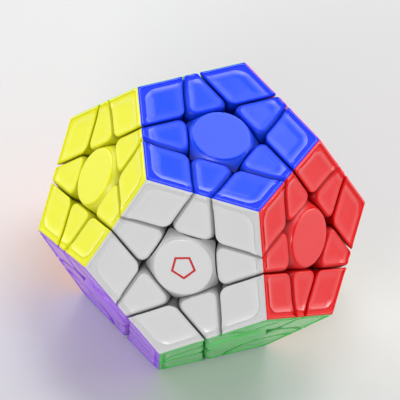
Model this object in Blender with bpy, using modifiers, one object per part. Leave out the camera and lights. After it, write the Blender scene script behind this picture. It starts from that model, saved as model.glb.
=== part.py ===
"""Dodecahedron twisty puzzle with twelve turning faces, each cut once.

World frame: the origin is the middle of the core, +Z leaves through the blue face and -Y points
towards the white face, so the puzzle stands on its sky face. A corner, an edge and a centre are
each made once, beside the blue face, and copied to their other places by the solid's rotations.

A layer is a solid turned about a face's axis. Its lower side is flat near the skin, slopes in to
a neck, steps out under a sphere and ends as a cone. So the feet of the corners hook under the
edges, the feet of the edges hook under the centres, and screws hold the centres to the core.
"""

from itertools import combinations
from math import acos, cos, pi, radians, sin, sqrt, tan

import bmesh
import bpy
from mathutils import Matrix, Vector

# Driving sizes, in metres. Each can be set by itself.
EDGE_LENGTH = 0.030          # edge of the outer dodecahedron
EDGE_TILE_WIDTH = 0.0036     # width of an edge piece, measured along the puzzle's edge
SEAM = 0.00036               # gap between neighbouring pieces
EDGE_BREAK = 0.0005          # chamfer along the thirty outer edges
CAP_DEPTH = 0.0079           # from a face down to the sphere that the feet hook under
FOOT_HEIGHT = 0.0065         # from that sphere down to the inner end of the feet
SHOULDER_WIDTH = 0.0005      # flat part of a layer's lower side that lies inside the skin
CAP_RADIUS = 0.0077          # round top of a centre
CAP_CHAMFER = 0.0003         # broken rim of that top
SKIRT_DEPTH = 0.0013         # how far the skirt round that top falls
CROWN_WALL = 0.0026          # plastic of a centre over its spring chamber
STEM_WALL = 0.0008           # wall round the spring chamber
LEDGE_HEIGHT = 0.0012        # ledge at the bottom of the chamber, under the spring
CORE_RADIUS = 0.0095         # ball in the middle
POST_HEIGHT = 0.0030         # posts on the ball, which the centres turn on
SCREW_RADIUS = 0.0011        # shank of an axle screw
HEAD_HEIGHT = 0.0015         # head of an axle screw
HEAD_PLAY = 0.0012           # free height over that head
TURN_PLAY = 0.00035          # clearance round the shank, round the head and under the stem
NECK_WALL = 0.0012           # wall round a corner's pocket at the neck
EDGE_POCKET_WIDTH = 0.0026   # pocket of an edge piece, along the puzzle's edge
EDGE_POCKET_LENGTH = 0.0072  # the same pocket, across the puzzle's edge
SKIN = 0.0036                # plastic left between a pocket's end and the outer edge
KEY_WIDTH = 0.0009           # ribs that tie the three rear centres to their posts

NECK_ANGLE = radians(45.5)   # half angle of a layer at its neck
FOOT_ANGLE = radians(50)     # half angle of a layer under the neck

TURN_SEGMENTS = 20           # facets round a layer's lower side, four for each neighbour
ROUND_SEGMENTS = 12          # facets round stems, posts, screws and pockets
SKIRT_STEPS = 2
SMOOTH_ANGLE = radians(35)

# Proportions of the dodecahedron, for an edge of 1.
FACE_DISTANCE = EDGE_LENGTH * sqrt((25 + 11 * sqrt(5)) / 10) / 2
EDGE_DISTANCE = EDGE_LENGTH * (3 + sqrt(5)) / 4
CORNER_DISTANCE = EDGE_LENGTH * (sqrt(15) + sqrt(3)) / 4
COS_AXES = 1 / sqrt(5)       # cosine of the angle between neighbouring face axes
SIN_AXES = 2 / sqrt(5)
EDGE_SLOPE = sqrt((5 + sqrt(5)) / 10)     # how fast an edge leaves the face at its end
AXES_ANGLE = acos(COS_AXES)
CORNER_ANGLE = acos(FACE_DISTANCE / CORNER_DISTANCE)    # between a corner and its face axes

# Sizes that follow.
CUT_DEPTH = FACE_DISTANCE - EDGE_SLOPE * (EDGE_LENGTH - EDGE_TILE_WIDTH) / 2
SKIN_RADIUS = (FACE_DISTANCE - CUT_DEPTH * COS_AXES) / SIN_AXES
TILE_RADIUS = (CUT_DEPTH - FACE_DISTANCE * COS_AXES) / SIN_AXES    # inscribed in a centre's tile
NECK_DISTANCE = FACE_DISTANCE - CAP_DEPTH
FOOT_DISTANCE = NECK_DISTANCE - FOOT_HEIGHT
STEM_RADIUS = FOOT_DISTANCE * sin(AXES_ANGLE - FOOT_ANGLE) - 2 * SEAM
LAYER_END = FOOT_DISTANCE * COS_AXES + STEM_RADIUS * SIN_AXES + SEAM / 2   # clear of the stems
CHAMBER_RADIUS = STEM_RADIUS - STEM_WALL
HOLE_RADIUS = SCREW_RADIUS + TURN_PLAY
POST_TOP = CORE_RADIUS + POST_HEIGHT
STEM_BOTTOM = POST_TOP + TURN_PLAY
LEDGE_TOP = STEM_BOTTOM + LEDGE_HEIGHT
CHAMBER_TOP = FACE_DISTANCE - CROWN_WALL
HEAD_TOP = CHAMBER_TOP - HEAD_PLAY
HEAD_BOTTOM = HEAD_TOP - HEAD_HEIGHT
HEAD_RADIUS = CHAMBER_RADIUS - TURN_PLAY
POCKET_RADIUS = NECK_DISTANCE * sin(NECK_ANGLE - CORNER_ANGLE) - SEAM / 2 - NECK_WALL
FAR = 2 * EDGE_LENGTH        # beyond the whole puzzle

# Colour names and linear colours of the twelve faces.
COLOURS = {
    "blue": (0.03, 0.09, 0.85), "white": (0.78, 0.78, 0.76), "red": (0.78, 0.03, 0.04),
    "yellow": (0.88, 0.83, 0.02), "pink": (0.95, 0.12, 0.28), "lime": (0.25, 0.65, 0.02),
    "purple": (0.35, 0.12, 0.75), "green": (0.13, 0.60, 0.16), "grey": (0.22, 0.23, 0.25),
    "sky": (0.20, 0.60, 0.90), "orange": (0.95, 0.25, 0.02), "beige": (0.85, 0.72, 0.42),
}
BODY_COLOUR = (0.02, 0.02, 0.025)
UPPER_RING = ("white", "red", "pink", "lime", "yellow")
OPPOSITE = {"white": "grey", "red": "orange", "pink": "purple", "lime": "green", "yellow": "beige"}
TURNING_FACES = ("yellow", "red", "sky")
KEYED_CENTRES = ("pink", "lime", "grey")


def face_normals():
    """Unit normals by colour: one up, five round it from -Y anticlockwise, and their opposites."""
    normals = {"blue": Vector((0, 0, 1)), "sky": Vector((0, 0, -1))}
    for step, name in enumerate(UPPER_RING):
        turn = 2 * pi * step / 5 - pi / 2
        normal = Vector((SIN_AXES * cos(turn), SIN_AXES * sin(turn), COS_AXES))
        normals[name] = normal
        normals[OPPOSITE[name]] = -normal
    return normals


NORMALS = face_normals()


def adjacent(first, second):
    return first != second and NORMALS[first].dot(NORMALS[second]) > 0


def anticlockwise(first, second, third):
    return NORMALS[first].dot(NORMALS[second].cross(NORMALS[third])) > 0


def third_face(first, second):
    """The face that completes an anticlockwise corner with these two."""
    for name in NORMALS:
        if adjacent(first, name) and adjacent(second, name) and anticlockwise(first, second, name):
            return name


def turn_to(first, second, third):
    """The rotation that carries the blue, white and red faces to these three."""
    made = Matrix([NORMALS[name] for name in ("blue", "white", "red")]).transposed()
    wanted = Matrix([NORMALS[name] for name in (first, second, third)]).transposed()
    return (wanted @ made.inverted()).to_4x4()


def clear_scene():
    for item in list(bpy.data.objects):
        bpy.data.objects.remove(item, do_unlink=True)


def collection(name):
    group = bpy.data.collections.new(name)
    bpy.context.scene.collection.children.link(group)
    return group


def cutter_object(name, mesh, group):
    """A shape that only cuts, or that pieces are copied from."""
    item = bpy.data.objects.new(name, mesh)
    group.objects.link(item)
    item.hide_render = True
    item.display_type = "WIRE"
    return item


def evaluated(item):
    """The object's mesh with its modifiers applied, as new mesh data."""
    bpy.context.view_layer.update()
    graph = bpy.context.evaluated_depsgraph_get()
    return bpy.data.meshes.new_from_object(item.evaluated_get(graph))


def turned(name, profile, group, segments=ROUND_SEGMENTS, closed=False):
    """Solid of revolution about Z. The profile of (radius, height) runs down its outer side."""
    shape = bmesh.new()
    points = [shape.verts.new((radius, 0, height)) for radius, height in profile]
    for start, end in zip(points, points[1:]):
        shape.edges.new((start, end))
    if closed:
        shape.edges.new((points[-1], points[0]))
    mesh = bpy.data.meshes.new(name)
    shape.to_mesh(mesh)
    shape.free()
    item = cutter_object(name, mesh, group)
    screw = item.modifiers.new("turn", "SCREW")
    screw.axis = "Z"
    screw.steps = screw.render_steps = segments
    screw.use_merge_vertices = True
    screw.merge_threshold = 0.00001
    return item


def combine(item, others, operation, group):
    """One exact Boolean with several shapes at once, which may overlap each other."""
    members = bpy.data.collections.new(item.name + "_" + operation.lower())
    group.children.link(members)
    for other in others:
        members.objects.link(other)
    boolean = item.modifiers.new(operation.lower(), "BOOLEAN")
    boolean.operation = operation
    boolean.solver = "EXACT"
    boolean.operand_type = "COLLECTION"
    boolean.collection = members


def shifted(profile, distance):
    """The profile moved sideways to its left by a distance, ending on the axis again."""
    starts, ways = [], []
    for (r1, h1), (r2, h2) in zip(profile, profile[1:]):
        way = Vector((r2 - r1, h2 - h1)).normalized()
        side = Vector((-way.y, way.x)) * distance
        starts.append(Vector((r1, h1)) + side)
        ways.append(way)
    moved = [starts[0]]
    for index in range(1, len(starts)):
        gap = starts[index] - starts[index - 1]
        along = gap.cross(ways[index]) / ways[index - 1].cross(ways[index])
        moved.append(starts[index - 1] + ways[index - 1] * along)
    moved.append(starts[-1] - ways[-1] * (starts[-1].x / ways[-1].x))
    return [(max(point.x, 0), point.y) for point in moved]


def layer(name, group, growth):
    """All that turns with the face on +Z, grown or shrunk. A facet's middle faces each neighbour."""
    lower_side = [
        (FAR, CUT_DEPTH),
        (SKIN_RADIUS - SHOULDER_WIDTH, CUT_DEPTH),
        (NECK_DISTANCE * sin(NECK_ANGLE), NECK_DISTANCE * cos(NECK_ANGLE)),
        (NECK_DISTANCE * sin(FOOT_ANGLE), NECK_DISTANCE * cos(FOOT_ANGLE)),
        (LAYER_END * tan(FOOT_ANGLE), LAYER_END),
        (0, LAYER_END),
    ]
    profile = [(0, FAR), (FAR, FAR)] + shifted(lower_side, growth)
    mesh = evaluated(turned(name, profile, group, TURN_SEGMENTS))
    mesh.transform(Matrix.Rotation(pi / TURN_SEGMENTS, 4, "Z"))
    return mesh


def layer_at(face, mesh, group):
    """A copy of a solid on one face. Five-fold facets make any rotation about that face do."""
    item = cutter_object(mesh.name + "_" + face, mesh, group)
    side = next(name for name in NORMALS if adjacent(face, name))
    item.matrix_world = turn_to(face, side, third_face(face, side))
    return item


def cut_flat(shape, normal, distance):
    """Remove what lies beyond a plane and close the cut."""
    everything = shape.verts[:] + shape.edges[:] + shape.faces[:]
    cut = bmesh.ops.bisect_plane(
        shape, geom=everything, plane_co=normal * distance, plane_no=normal, clear_outer=True
    )
    rim = [part for part in cut["geom_cut"] if isinstance(part, bmesh.types.BMEdge)]
    bmesh.ops.contextual_create(shape, geom=rim)


def blank(name, direction, bottom, group):
    """The outer dodecahedron with broken edges, kept above a height in one direction."""
    shape = bmesh.new()
    bmesh.ops.create_cube(shape, size=2 * FAR)
    for normal in NORMALS.values():
        cut_flat(shape, normal, FACE_DISTANCE)
    bmesh.ops.bevel(
        shape, geom=shape.edges[:], offset=EDGE_BREAK, offset_type="OFFSET", segments=1,
        profile=0.5, affect="EDGES",
    )
    cut_flat(shape, -direction, -bottom)
    bmesh.ops.recalc_face_normals(shape, faces=shape.faces[:])
    mesh = bpy.data.meshes.new(name)
    shape.to_mesh(mesh)
    shape.free()
    return cutter_object(name, mesh, group)


def aim(item, direction):
    item.rotation_mode = "QUATERNION"
    item.rotation_quaternion = direction.to_track_quat("Z", "Y")
    return item


def finished(item, faces):
    """The piece as clean mesh data: slot 0 is its body, then one slot for each coloured tile."""
    mesh = evaluated(item)
    mesh.name = item.name
    shape = bmesh.new()
    shape.from_mesh(mesh)
    bmesh.ops.remove_doubles(shape, verts=shape.verts[:], dist=0.000002)
    bmesh.ops.dissolve_limit(
        shape, angle_limit=radians(0.2), verts=shape.verts[:], edges=shape.edges[:]
    )
    for face in shape.faces:
        middle = face.calc_center_median()
        for slot, name in enumerate(faces, start=1):
            if face.normal.dot(NORMALS[name]) > 0.99 and middle.dot(NORMALS[name]) > CUT_DEPTH:
                face.material_index = slot
    shape.to_mesh(mesh)
    shape.free()
    mesh.shade_smooth()
    mesh.set_sharp_from_angle(angle=SMOOTH_ANGLE)
    return mesh


def make_corner(inner, group):
    """A corner lies in three layers at once. A pocket from its foot makes it a hollow moulding."""
    faces = ("blue", "white", "red")
    direction = sum((NORMALS[name] for name in faces), Vector()).normalized()
    item = blank("corner_shape", direction, FOOT_DISTANCE, group)
    combine(item, [layer_at(name, inner, group) for name in faces], "INTERSECT", group)
    profile = [(0, CORNER_DISTANCE - 2 * SKIN), (POCKET_RADIUS, CORNER_DISTANCE - 2 * SKIN),
               (POCKET_RADIUS, FOOT_DISTANCE - SKIN), (0, FOOT_DISTANCE - SKIN)]
    pocket = aim(turned("corner_pocket", profile, group), direction)
    combine(item, [pocket], "DIFFERENCE", group)
    return finished(item, faces)


def make_edge(inner, outer, group):
    """An edge lies in two layers and outside the two layers at its ends."""
    faces = ("blue", "white")
    direction = sum((NORMALS[name] for name in faces), Vector()).normalized()
    item = blank("edge_shape", direction, FOOT_DISTANCE, group)
    combine(item, [layer_at(name, inner, group) for name in faces], "INTERSECT", group)
    beyond = [layer_at(name, outer, group) for name in ("yellow", "red")]
    shape = bmesh.new()
    bmesh.ops.create_cube(shape, size=1)
    height = EDGE_DISTANCE - 2 * SKIN - (FOOT_DISTANCE - SKIN)
    size = Vector((EDGE_POCKET_WIDTH, EDGE_POCKET_LENGTH, height))
    middle = FOOT_DISTANCE - SKIN + height / 2
    across = NORMALS["blue"].cross(NORMALS["white"]).normalized()
    axes = Matrix((across, direction.cross(across), direction)).transposed().to_4x4()
    bmesh.ops.scale(shape, vec=size, verts=shape.verts[:])
    bmesh.ops.translate(shape, vec=(0, 0, middle), verts=shape.verts[:])
    mesh = bpy.data.meshes.new("edge_pocket")
    shape.to_mesh(mesh)
    shape.free()
    pocket = cutter_object("edge_pocket", mesh, group)
    pocket.matrix_world = axes
    combine(item, beyond + [pocket], "DIFFERENCE", group)
    return finished(item, faces)


def make_centre(outer, group):
    """A centre: flat round top, falling skirt, and a stem with the spring chamber in it."""
    item = blank("centre_shape", NORMALS["blue"], POST_TOP, group)
    outline = [(0, FAR), (2 * TILE_RADIUS, FAR), (2 * TILE_RADIUS, FOOT_DISTANCE),
               (STEM_RADIUS, FOOT_DISTANCE), (STEM_RADIUS, STEM_BOTTOM), (0, STEM_BOTTOM)]
    combine(item, [turned("centre_outline", outline, group)], "INTERSECT", group)

    reach = TILE_RADIUS / cos(pi / 5) + SEAM - CAP_RADIUS
    groove = [(FAR, FAR), (FAR, FACE_DISTANCE - SKIRT_DEPTH)]
    for step in range(SKIRT_STEPS, -1, -1):
        angle = pi / 2 * step / SKIRT_STEPS
        fall = CAP_CHAMFER + (SKIRT_DEPTH - CAP_CHAMFER) * sin(angle)
        groove.append((CAP_RADIUS + reach * (1 - cos(angle)), FACE_DISTANCE - fall))
    groove.append((CAP_RADIUS - 2 * CAP_CHAMFER, FACE_DISTANCE + CAP_CHAMFER))
    groove.append((CAP_RADIUS - 2 * CAP_CHAMFER, FAR))
    skirt_cut = turned("skirt_cut", groove, group, 2 * ROUND_SEGMENTS, closed=True)

    below = STEM_BOTTOM - LEDGE_HEIGHT
    chamber = [(0, CHAMBER_TOP), (CHAMBER_RADIUS, CHAMBER_TOP), (CHAMBER_RADIUS, LEDGE_TOP),
               (HOLE_RADIUS, LEDGE_TOP), (HOLE_RADIUS, below), (0, below)]
    beyond = [layer_at(name, outer, group) for name in UPPER_RING]
    combine(item, beyond + [skirt_cut, turned("chamber", chamber, group)], "DIFFERENCE", group)
    return finished(item, ("blue",))


def make_core(centre, group):
    """Ball, twelve posts and axle screws, with the three rear centres keyed to their posts."""
    ball = bmesh.new()
    bmesh.ops.create_uvsphere(
        ball, u_segments=ROUND_SEGMENTS, v_segments=ROUND_SEGMENTS // 2, radius=CORE_RADIUS
    )
    mesh = bpy.data.meshes.new("core_ball")
    ball.to_mesh(mesh)
    ball.free()
    item = cutter_object("core_shape", mesh, group)
    root = CORE_RADIUS - POST_HEIGHT / 2
    post = [(0, HEAD_TOP), (HEAD_RADIUS, HEAD_TOP), (HEAD_RADIUS, HEAD_BOTTOM),
            (SCREW_RADIUS, HEAD_BOTTOM), (SCREW_RADIUS, POST_TOP), (STEM_RADIUS, POST_TOP),
            (STEM_RADIUS, root), (0, root)]
    post_mesh = evaluated(turned("post_and_screw", post, group))
    parts = [layer_at(name, post_mesh, group) for name in NORMALS]
    shape = bmesh.new()
    bmesh.ops.create_cube(shape, size=1)
    key_height = TURN_PLAY + LEDGE_HEIGHT
    size = (KEY_WIDTH, 2 * STEM_RADIUS - STEM_WALL, key_height)
    bmesh.ops.scale(shape, vec=size, verts=shape.verts[:])
    bmesh.ops.translate(shape, vec=(0, 0, POST_TOP + TURN_PLAY / 2), verts=shape.verts[:])
    key_mesh = bpy.data.meshes.new("key")
    shape.to_mesh(key_mesh)
    shape.free()
    for name in KEYED_CENTRES:
        parts += [layer_at(name, centre, group), layer_at(name, key_mesh, group)]
    combine(item, parts, "UNION", group)
    return finished(item, KEYED_CENTRES)


def plastic(name, colour, roughness):
    material = bpy.data.materials.new(name)
    material.use_nodes = True
    shader = material.node_tree.nodes["Principled BSDF"]
    shader.inputs["Base Color"].default_value = (*colour, 1)
    shader.inputs["Roughness"].default_value = roughness
    shader.inputs["Metallic"].default_value = 0
    return material


def layer_axes(group):
    """An empty on each joint axis, at the core's middle, that carries a turning layer."""
    axes = {}
    for name in TURNING_FACES:
        axis = bpy.data.objects.new("axis_of_" + name, None)
        group.objects.link(axis)
        axis.empty_display_size = CORE_RADIUS
        axis.matrix_world = NORMALS[name].to_track_quat("Z", "Y").to_matrix().to_4x4()
        axes[name] = axis
    return axes


def place(name, mesh, faces, turn, axes, group):
    """One copy of a piece in its own place, carried by its layer's axis if that layer turns."""
    item = bpy.data.objects.new(name, mesh)
    group.objects.link(item)
    if not mesh.materials:
        for _ in range(len(faces) + 1):
            mesh.materials.append(None)
    colours = [BODY_COLOUR] + [COLOURS[face] for face in faces]
    for slot, colour in zip(item.material_slots, colours):
        slot.link = "OBJECT"
        slot.material = plastic(name, colour, 0.3)
    for face in faces:
        if face in TURNING_FACES:
            item.parent = axes[face]
            item.matrix_parent_inverse = axes[face].matrix_world.inverted()
    item.matrix_world = turn
    return item


def build():
    clear_scene()
    puzzle = collection("dodecahedron_twisty_puzzle")
    cutters = collection("cutters")
    axes = layer_axes(puzzle)
    inner = layer("layer_inside", cutters, -SEAM / 2)
    outer = layer("layer_outside", cutters, SEAM / 2)
    corner = make_corner(inner, cutters)
    edge = make_edge(inner, outer, cutters)
    centre = make_centre(outer, cutters)
    core = make_core(centre, cutters)

    for faces in combinations(NORMALS, 3):
        if all(adjacent(*pair) for pair in combinations(faces, 2)):
            if not anticlockwise(*faces):
                faces = (faces[0], faces[2], faces[1])
            place("corner_" + "_".join(faces), corner, faces, turn_to(*faces), axes, puzzle)
    for pair in combinations(NORMALS, 2):
        if adjacent(*pair):
            turn = turn_to(*pair, third_face(*pair))
            place("edge_" + "_".join(pair), edge, pair, turn, axes, puzzle)
    for name in NORMALS:
        if name not in KEYED_CENTRES:
            side = next(other for other in NORMALS if adjacent(name, other))
            turn = turn_to(name, side, third_face(name, side))
            place("centre_" + name, centre, (name,), turn, axes, puzzle)
    place("core_and_rear_centres", core, KEYED_CENTRES, Matrix(), axes, puzzle)


build()
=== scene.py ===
"""Looks of the dodecahedron twisty puzzle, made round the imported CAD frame.

World frame: the origin is the middle of the core, +Z leaves through the blue face and -Y points
towards the white face. Three mouldings are made once beside the blue face: a corner (blue, white,
red), an edge (blue, white) and a centre (blue). The solid's rotations copy them to their places.

A moulding's surface is the zero level of a field of signed distances, so that its seams, rounded
rims, creases and dishes join smoothly. A grid of points is laid over each tile and each wall, and
then moved onto that level.
"""

from itertools import combinations
from math import acos, cos, pi, radians, sin, sqrt

import bmesh
import bpy
import numpy as np
from mathutils import Matrix, Vector


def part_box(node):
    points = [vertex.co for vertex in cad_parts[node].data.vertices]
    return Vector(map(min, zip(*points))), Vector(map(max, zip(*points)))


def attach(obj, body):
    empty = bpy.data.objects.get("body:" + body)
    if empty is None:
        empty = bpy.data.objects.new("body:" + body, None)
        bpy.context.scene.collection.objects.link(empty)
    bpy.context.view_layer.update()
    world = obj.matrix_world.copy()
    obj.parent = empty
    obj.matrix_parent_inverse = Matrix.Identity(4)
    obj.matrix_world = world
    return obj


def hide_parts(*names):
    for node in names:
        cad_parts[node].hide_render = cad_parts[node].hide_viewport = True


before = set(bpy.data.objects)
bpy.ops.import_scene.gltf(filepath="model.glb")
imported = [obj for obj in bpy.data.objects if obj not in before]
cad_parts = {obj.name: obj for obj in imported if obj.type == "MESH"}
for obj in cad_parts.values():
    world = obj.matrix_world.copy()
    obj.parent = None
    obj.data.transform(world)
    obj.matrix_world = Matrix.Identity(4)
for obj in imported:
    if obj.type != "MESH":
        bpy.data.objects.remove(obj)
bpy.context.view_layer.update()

# Proportions of the dodecahedron, with its size taken from the frame.
FACE_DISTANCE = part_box("centre_blue")[1].z
EDGE_LENGTH = 2 * FACE_DISTANCE / sqrt((25 + 11 * sqrt(5)) / 10)
CORNER_DISTANCE = EDGE_LENGTH * (sqrt(15) + sqrt(3)) / 4
COS_AXES = 1 / sqrt(5)       # cosine of the angle between neighbouring face axes
SIN_AXES = 2 / sqrt(5)
EDGE_SLOPE = sqrt((5 + sqrt(5)) / 10)     # how fast an edge leaves the face at its end
APOTHEM = FACE_DISTANCE * (1 - COS_AXES) / SIN_AXES    # from a face's middle to its sides

# Sizes of the mechanism, in metres, as in the CAD model.
EDGE_TILE_WIDTH = 0.0036
SEAM = 0.00036
CAP_DEPTH = 0.0079
FOOT_HEIGHT = 0.0065
SHOULDER_WIDTH = 0.0005
CROWN_WALL = 0.0026
STEM_WALL = 0.0008
LEDGE_HEIGHT = 0.0012
CORE_RADIUS = 0.0095
POST_HEIGHT = 0.0030
SCREW_RADIUS = 0.0011
HEAD_HEIGHT = 0.0015
HEAD_PLAY = 0.0012
TURN_PLAY = 0.00035
NECK_WALL = 0.0012
EDGE_POCKET_WIDTH = 0.0026
EDGE_POCKET_LENGTH = 0.0072
SKIN = 0.0036
NECK_ANGLE = radians(45.5)
FOOT_ANGLE = radians(50)
AXES_ANGLE = acos(COS_AXES)
CORNER_ANGLE = acos(FACE_DISTANCE / CORNER_DISTANCE)    # between a corner and its face axes

CUT_DEPTH = FACE_DISTANCE - EDGE_SLOPE * (EDGE_LENGTH - EDGE_TILE_WIDTH) / 2
SKIN_RADIUS = (FACE_DISTANCE - CUT_DEPTH * COS_AXES) / SIN_AXES
TILE_RADIUS = (CUT_DEPTH - FACE_DISTANCE * COS_AXES) / SIN_AXES    # inscribed in a centre's tile
NECK_DISTANCE = FACE_DISTANCE - CAP_DEPTH
FOOT_DISTANCE = NECK_DISTANCE - FOOT_HEIGHT
STEM_RADIUS = FOOT_DISTANCE * sin(AXES_ANGLE - FOOT_ANGLE) - 2 * SEAM
LAYER_END = FOOT_DISTANCE * COS_AXES + STEM_RADIUS * SIN_AXES + SEAM / 2
CHAMBER_RADIUS = STEM_RADIUS - STEM_WALL
HOLE_RADIUS = SCREW_RADIUS + TURN_PLAY
POST_TOP = CORE_RADIUS + POST_HEIGHT
STEM_BOTTOM = POST_TOP + TURN_PLAY
LEDGE_TOP = STEM_BOTTOM + LEDGE_HEIGHT
CHAMBER_TOP = FACE_DISTANCE - CROWN_WALL
HEAD_TOP = CHAMBER_TOP - HEAD_PLAY
HEAD_BOTTOM = HEAD_TOP - HEAD_HEIGHT
HEAD_RADIUS = CHAMBER_RADIUS - TURN_PLAY
POCKET_RADIUS = NECK_DISTANCE * sin(NECK_ANGLE - CORNER_ANGLE) - SEAM / 2 - NECK_WALL

# Shape of the visible tiles.
RIM = 0.00080                # rounded rim along the seams
EDGE_ROUND = 0.00032         # rounding of the puzzle's thirty outer edges
CORNER_TIP = 0.0019          # rounding of a corner tile's inner tip
EDGE_TIP = 0.0026            # rounding of an edge tile's two inner tips
CENTRE_TIP = 0.0010          # rounding of the five points of a centre's skirt
TIP_AT_NECK = 0.0005         # what is left of those roundings at the neck
GROOVE_START, GROOVE_FLOOR = 0.00070, 0.00095    # outer side of the groove by an outer edge
GROOVE_RISE, GROOVE_END = 0.00172, 0.00190       # its inner side, which ends at the dish
GROOVE_DEPTH = 0.00020
BEAD_HEIGHT = 0.00010        # fine bead on the groove's outer side
BEAD_WIDTH = 0.00019
GROOVE_BEND = 0.0016         # how the groove's outer side turns round a corner tile's vertex
DISH_BEND = 0.0046           # and how its inner side does
DISH_DEPTH = 0.00033         # fall of the dish from the groove, and how far in it ends
DISH_REACH = 0.0027
RIM_FALL = 0.00020           # and from the seams
RIM_REACH = 0.0022
RING_WIDTH = 0.0018          # how far into the dish its painted highlight fades
RIM_SHADE_WIDTH = 0.75 * RIM    # part of a rim that has the groove's painted shade
HIGHLIGHT_START, HIGHLIGHT_FULL = 0.8 * RIM, 1.2 * RIM    # where the painted highlight begins by a seam

CAP_RADIUS = 0.0077          # round top of a centre
CAP_ROUND = 0.00045
SKIRT_DEPTH = 0.0034         # how far the skirt round that top falls
SKIRT_REACH = 0.0036         # how far out it reaches that depth
SHADE_REACH = 0.0032         # how far from the cap the skirt's painted shade deepens
SKIRT_CURVE = 1.7            # 1 for a straight skirt, more for a hollow one

# Inside, on each axis.
POST_BREAK = 0.0003          # broken edges of stems, posts and screw heads
SOCKET_RADIUS = 0.0009       # driver socket in a screw's head
SOCKET_DEPTH = 0.0008
WASHER_BOTTOM = HEAD_BOTTOM - 0.0005
WIRE_RADIUS = 0.0003
WIRE_SIDES = 8
SPRING_RADIUS = 0.0019
SPRING_TURNS = 7
SPRING_GAP = 0.00005

MARK_RADIUS = 0.0034         # plain ring on the white cap
MARK_WIDTH = 0.0007
MARK_HEIGHT = 0.00003

# Rows of points over a tile, as distances from its outer edge, and over a wall, from its rim.
TILE_ROWS = np.array([0, 0.07, 0.15, 0.25, 0.36, 0.5, 0.6, 0.67, 0.74, 0.81, 0.88, 0.96, 1.2, 1.5,
                      1.62, 1.7, 1.78, 1.86, 1.94, 2.05, 2.25, 2.45, 2.65, 2.9, 3.2, 3.6, 4.1,
                      4.7, 5.4]) / 1000
WALL_ROWS = np.array([0, 0.08, 0.17, 0.28, 0.42, 0.6, 0.85, 1.4, 2.4]) / 1000
RIM_ROWS = 5                 # first rows of a wall, in the groove's painted shade, and of a cap's rim
CAP_ROWS = 7
SKIRT_ROWS = 10
NECK_STEPS = 5
CAP_SIDES = 120              # columns round a centre
TURNED_SIDES = 40            # columns round a screw, post or washer
CORNER_SEAM_POINTS = 46      # points along the seam of one tile
EDGE_SEAM_POINTS = 72
OUTLINE_SAMPLES = 1200       # rays that a seam's points are picked from
EDGE_TILE_REACH = 0.0046     # the middle of an edge's tile, past the centre's tile
EDGE_NARROWING = 0.86        # how far its rows close in on that middle
EQUAL_ROWS = 0.0024          # its rows keep their distances up to here
POCKET_POWER = 6             # roundness of the pocket in an edge's foot
SURFACE_GAP = 0.00002        # between rings on both sides of a step in the walls
HALVINGS = 40                # steps of a search along a ray
SETTLING_STEPS = 8
SETTLING_LIMIT = 0.0005      # longest step of a point onto a surface
SETTLING_PROBE = 0.000004    # how far apart a field is read for its slope
LEAST_SLOPE = 0.5            # a flatter field is taken to be this steep
WIDEST_ANGLE = radians(40)   # of a wall from its moulding's axis
MIDDLE_POINTS = 4            # along an outer edge, between the close ones at its ends
CAP_START = 0.15             # innermost ring of a cap, as a share of its flat part
SHARP_ANGLE = radians(38)
WELD_DISTANCE = 0.000002
THINNEST_EDGE = 0.0000005
BALL_SEGMENTS = 64
SPRING_STEPS = 18            # rings of wire in one turn
MARK_STEPS = 12              # points along one side of the mark

UPPER_RING = ("white", "red", "pink", "lime", "yellow")
OPPOSITE = {"white": "grey", "red": "orange", "pink": "purple", "lime": "green", "yellow": "beige"}
TURNING_FACES = ("yellow", "red", "sky")
REAR_CENTRES = ("pink", "lime", "grey")
COLOURS = {
    "blue": (0.005, 0.070, 0.94), "white": (0.74, 0.74, 0.74), "red": (0.87, 0.003, 0.006),
    "yellow": (0.80, 0.80, 0.004), "pink": (0.95, 0.12, 0.28), "lime": (0.25, 0.65, 0.02),
    "purple": (0.42, 0.16, 0.88), "green": (0.14, 0.66, 0.17), "grey": (0.20, 0.21, 0.23),
    "sky": (0.20, 0.58, 0.88), "orange": (0.92, 0.24, 0.02), "beige": (0.82, 0.68, 0.38),
}


def face_normals():
    """Unit normals by colour: one up, five round it from -Y anticlockwise, and their opposites."""
    normals = {"blue": Vector((0, 0, 1)), "sky": Vector((0, 0, -1))}
    for step, name in enumerate(UPPER_RING):
        turn = 2 * pi * step / 5 - pi / 2
        normal = Vector((SIN_AXES * cos(turn), SIN_AXES * sin(turn), COS_AXES))
        normals[name] = normal
        normals[OPPOSITE[name]] = -normal
    return normals


NORMALS = face_normals()


def adjacent(first, second):
    return first != second and NORMALS[first].dot(NORMALS[second]) > 0


def anticlockwise(first, second, third):
    return NORMALS[first].dot(NORMALS[second].cross(NORMALS[third])) > 0


def third_face(first, second):
    """The face that completes an anticlockwise corner with these two."""
    for name in NORMALS:
        if adjacent(first, name) and adjacent(second, name) and anticlockwise(first, second, name):
            return name


def turn_to(first, second, third):
    """The rotation that carries the blue, white and red faces to these three."""
    made = Matrix([NORMALS[name] for name in ("blue", "white", "red")]).transposed()
    wanted = Matrix([NORMALS[name] for name in (first, second, third)]).transposed()
    return (wanted @ made.inverted()).to_4x4()


def normal_of(name):
    return np.array(NORMALS[name])


# Fields of signed distance, negative inside. Points come as rows of an array.

def smooth_max(first, second, radius):
    """The larger of two distances, with the edge where they meet rounded to a radius."""
    outside = np.sqrt(np.maximum(first + radius, 0) ** 2 + np.maximum(second + radius, 0) ** 2)
    return np.minimum(np.maximum(first, second), -radius) + outside


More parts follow.
